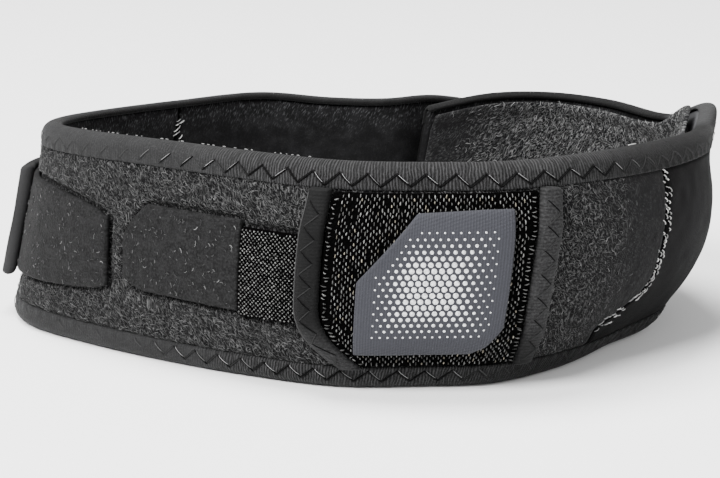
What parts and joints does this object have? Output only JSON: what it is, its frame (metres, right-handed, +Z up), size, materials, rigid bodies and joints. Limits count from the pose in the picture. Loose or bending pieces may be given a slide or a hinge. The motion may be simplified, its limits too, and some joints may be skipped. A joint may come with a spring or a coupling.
{
  "type": "patella strap",
  "caption": "Padded strap worn round the leg below the kneecap, with bound edges, a woven front panel and hook-ended straps.",
  "frame": {"origin": "bottom centre of the bounding box, on the surface that the bottom binding rests on", "axes": "+Z up along the leg, -Y towards the front panel, +X towards the pointed end, on the right of the picture"},
  "size_m": [0.1436, 0.1184, 0.0425],
  "materials": {
    "plush": "fuzzy loop pile",
    "neoprene": "smooth cloth faced neoprene",
    "lining": "fuzzy loop pile",
    "binding": "fine ribbed knit",
    "woven": "open weave with light flecks",
    "badge": "fine ribbed patch",
    "hook": "moulded hook tape",
    "strap": "woven strap"
  },
  "bodies": {
    "root": {"band_front": "plush", "band_right": "neoprene", "band_back": "neoprene", "plush_lining": "lining", "top_binding": "binding", "bottom_binding": "binding", "panel_binding_left": "binding", "panel_binding_right": "binding", "front_panel": "woven", "front_strap": "woven", "badge": "badge", "front_hook_tab": "hook", "side_hook_tab": "hook", "closure_patch": "hook", "side_strap": "strap"}
  },
  "joints": []
}
